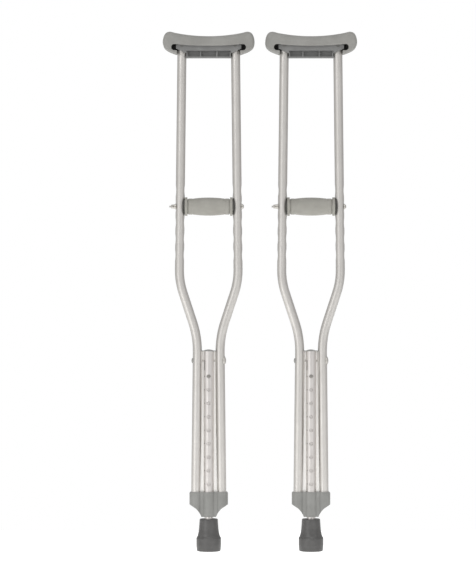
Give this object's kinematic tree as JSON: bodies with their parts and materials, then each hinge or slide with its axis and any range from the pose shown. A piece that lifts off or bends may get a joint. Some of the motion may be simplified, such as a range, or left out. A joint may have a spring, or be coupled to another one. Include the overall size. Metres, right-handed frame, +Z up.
{
  "type": "underarm crutches",
  "caption": "Underarm crutches with bent aluminium tubes, cushioned rests, wing-nut hand grips and push-button legs on rubber tips.",
  "frame": {"origin": "on the floor, midway between the two rubber tips", "axes": "+Z up along the crutches, +X from the left crutch to the right one, front towards -Y"},
  "size_m": [0.4268, 0.0546, 1.1423],
  "materials": {
    "tube_aluminium": "satin anodised",
    "housing_aluminium": "satin anodised extrusion",
    "leg_aluminium": "satin anodised",
    "crosspiece_plastic": "moulded",
    "pad_rubber": "closed-cell sponge",
    "grip_rubber": "soft, fine grained",
    "core_plastic": "moulded",
    "steel": "zinc plated",
    "dark_steel": "zinc plated",
    "spring_steel": "plain",
    "bolt_head_steel": "satin",
    "cap_plastic": "moulded",
    "ferrule_plastic": "moulded",
    "bush_plastic": "moulded",
    "tip_rubber": "moulded, matt"
  },
  "bodies": {
    "left_frame": {"left_front_tube": "tube_aluminium", "left_rear_tube": "tube_aluminium", "left_underarm_crosspiece": "crosspiece_plastic", "left_crosspiece_rivets": "steel", "left_underarm_pad": "pad_rubber", "left_grip_core": "core_plastic", "left_grip_sleeve": "grip_rubber", "left_grip_bolt": "steel", "left_grip_washers": "steel", "left_leg_housing": "housing_aluminium", "left_housing_top_cap": "cap_plastic", "left_housing_bolt": "bolt_head_steel", "left_housing_cap_nut": "dark_steel", "left_ferrule": "ferrule_plastic", "left_ferrule_rivets": "steel", "left_leg_guide_bush": "bush_plastic"},
    "left_leg": {"left_leg_tube": "leg_aluminium", "left_leg_top_bush": "bush_plastic", "left_snap_spring": "spring_steel", "left_crutch_tip": "tip_rubber", "left_tip_washer": "steel"},
    "left_button": {"left_snap_button": "steel"},
    "left_wing_nut": {"left_wing_nut": "steel"},
    "right_frame": {"right_front_tube": "tube_aluminium", "right_rear_tube": "tube_aluminium", "right_underarm_crosspiece": "crosspiece_plastic", "right_crosspiece_rivets": "steel", "right_underarm_pad": "pad_rubber", "right_grip_core": "core_plastic", "right_grip_sleeve": "grip_rubber", "right_grip_bolt": "steel", "right_grip_washers": "steel", "right_leg_housing": "housing_aluminium", "right_housing_top_cap": "cap_plastic", "right_housing_bolt": "bolt_head_steel", "right_housing_cap_nut": "dark_steel", "right_ferrule": "ferrule_plastic", "right_ferrule_rivets": "steel", "right_leg_guide_bush": "bush_plastic"},
    "right_leg": {"right_leg_tube": "leg_aluminium", "right_leg_top_bush": "bush_plastic", "right_snap_spring": "spring_steel", "right_crutch_tip": "tip_rubber", "right_tip_washer": "steel"},
    "right_button": {"right_snap_button": "steel"},
    "right_wing_nut": {"right_wing_nut": "steel"}
  },
  "joints": [
    {"name": "right_crutch_place", "type": "slide", "parent": "left_frame", "child": "right_frame", "axis": [1, 0, 0], "range_m": [0, 0.4]},
    {"name": "left_leg_extension", "type": "slide", "parent": "left_frame", "child": "left_leg", "axis": [0, 0, -1], "range_m": [0, 0.1776]},
    {"name": "left_button_press", "type": "slide", "parent": "left_leg", "child": "left_button", "axis": [0, 1, 0], "range_m": [0, 0.005], "stiffness_N_per_m": 1500, "deforming": ["left_snap_spring"]},
    {"name": "left_wing_nut_spin", "type": "hinge", "parent": "left_frame", "child": "left_wing_nut", "pos_m": [-0.1877, 0, 0.7586], "axis": [1, 0, 0], "continuous": true},
    {"name": "right_leg_extension", "type": "slide", "parent": "right_frame", "child": "right_leg", "axis": [0, 0, -1], "range_m": [0, 0.1776]},
    {"name": "right_button_press", "type": "slide", "parent": "right_leg", "child": "right_button", "axis": [0, 1, 0], "range_m": [0, 0.005], "stiffness_N_per_m": 1500, "deforming": ["right_snap_spring"]},
    {"name": "right_wing_nut_spin", "type": "hinge", "parent": "right_frame", "child": "right_wing_nut", "pos_m": [0.0377, 0, 0.7586], "axis": [1, 0, 0], "continuous": true}
  ]
}
